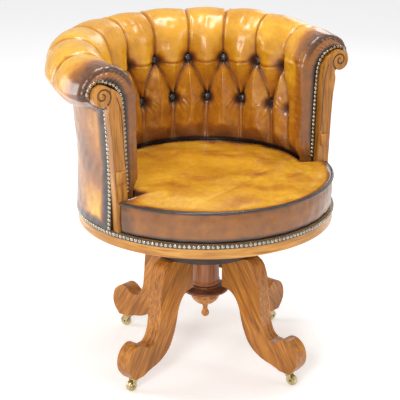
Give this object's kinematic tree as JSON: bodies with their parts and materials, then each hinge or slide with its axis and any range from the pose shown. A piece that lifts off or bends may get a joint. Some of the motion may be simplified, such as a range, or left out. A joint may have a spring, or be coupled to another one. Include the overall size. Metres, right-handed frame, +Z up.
{
  "type": "swivel office chair",
  "caption": "Round-backed swivel desk chair: buttoned leather tub seat with rolled arms, turning on an oak leg base with brass castors.",
  "frame": {"origin": "on the floor, under the centre of the chair's bounding box; the swivel axis stands 30.4 mm in front of it", "axes": "+Z up, the chair faces -Y, and +X is on the right of someone who stands in front of it"},
  "size_m": [0.7278, 0.6672, 0.797],
  "materials": {
    "oak": "waxed gloss",
    "dark_oak": "waxed gloss",
    "beech": "bare, matte",
    "pine_board": "bare, matte",
    "iron": "blackened",
    "spring_steel": "oiled",
    "brass": "polished",
    "antique_brass": "antiqued domes",
    "canvas": "woven, matte",
    "leather": "hand-dyed, gloss, darkened in folds and along edges",
    "dark_leather": "gloss"
  },
  "bodies": {
    "base": {"leg_front_right": "oak", "leg_back_right": "oak", "leg_back_left": "oak", "leg_front_left": "oak", "column": "dark_oak", "collar": "dark_oak", "finial": "oak", "base_plate": "dark_oak", "spindle_bush": "brass", "thrust_washer": "brass", "castor_socket_front_right": "brass", "castor_socket_back_right": "brass", "castor_socket_back_left": "brass", "castor_socket_front_left": "brass"},
    "seat": {"spindle": "iron", "seat_spider": "iron", "seat_board": "pine_board", "seat_rail": "oak", "seat_spring_1": "spring_steel", "seat_spring_2": "spring_steel", "seat_spring_3": "spring_steel", "seat_spring_4": "spring_steel", "seat_spring_5": "spring_steel", "spring_canvas": "canvas", "seat_cushion": "leather", "seat_piping": "dark_leather", "rail_nails": "antique_brass", "back_pad": "leather", "outside_back": "leather", "back_top_rail": "beech", "back_stile_centre": "beech", "back_stile_left": "beech", "back_stile_right": "beech", "back_stile_arm_left": "beech", "back_stile_arm_right": "beech", "arm_post_left": "oak", "arm_block_left": "oak", "arm_nails_inner_left": "antique_brass", "arm_nails_outer_left": "antique_brass", "arm_post_right": "oak", "arm_block_right": "oak", "arm_nails_inner_right": "antique_brass", "arm_nails_outer_right": "antique_brass"},
    "castor_front_right": {"castor_fork_front_right": "brass", "castor_axle_front_right": "iron"},
    "wheel_front_right": {"castor_wheel_front_right": "brass"},
    "castor_back_right": {"castor_fork_back_right": "brass", "castor_axle_back_right": "iron"},
    "wheel_back_right": {"castor_wheel_back_right": "brass"},
    "castor_back_left": {"castor_fork_back_left": "brass", "castor_axle_back_left": "iron"},
    "wheel_back_left": {"castor_wheel_back_left": "brass"},
    "castor_front_left": {"castor_fork_front_left": "brass", "castor_axle_front_left": "iron"},
    "wheel_front_left": {"castor_wheel_front_left": "brass"}
  },
  "joints": [
    {"name": "seat_swivel", "type": "hinge", "parent": "base", "child": "seat", "pos_m": [0, -0.03035, 0.34], "axis": [0, 0, 1], "continuous": true},
    {"name": "castor_swivel_front_right", "type": "hinge", "parent": "base", "child": "castor_front_right", "pos_m": [0.07789, -0.27369, 0.033], "axis": [0, 0, 1], "continuous": true},
    {"name": "wheel_roll_front_right", "type": "hinge", "parent": "castor_front_right", "child": "wheel_front_right", "pos_m": [0.0818, -0.28179, 0.01383], "axis": [0.9007, 0.4344, 0], "continuous": true},
    {"name": "castor_swivel_back_right", "type": "hinge", "parent": "base", "child": "castor_back_right", "pos_m": [0.24334, 0.04754, 0.033], "axis": [0, 0, 1], "continuous": true},
    {"name": "wheel_roll_back_right", "type": "hinge", "parent": "castor_back_right", "child": "wheel_back_right", "pos_m": [0.25215, 0.04938, 0.01383], "axis": [-0.2036, 0.979, 0], "continuous": true},
    {"name": "castor_swivel_back_left", "type": "hinge", "parent": "base", "child": "castor_back_left", "pos_m": [-0.07789, 0.21299, 0.033], "axis": [0, 0, 1], "continuous": true},
    {"name": "wheel_roll_back_left", "type": "hinge", "parent": "castor_back_left", "child": "wheel_back_left", "pos_m": [-0.08236, 0.2208, 0.01383], "axis": [-0.8682, -0.4962, 0], "continuous": true},
    {"name": "castor_swivel_front_left", "type": "hinge", "parent": "base", "child": "castor_front_left", "pos_m": [-0.24334, -0.10824, 0.033], "axis": [0, 0, 1], "continuous": true},
    {"name": "wheel_roll_front_left", "type": "hinge", "parent": "castor_front_left", "child": "wheel_front_left", "pos_m": [-0.25221, -0.10977, 0.01383], "axis": [0.1693, -0.9856, 0], "continuous": true}
  ]
}
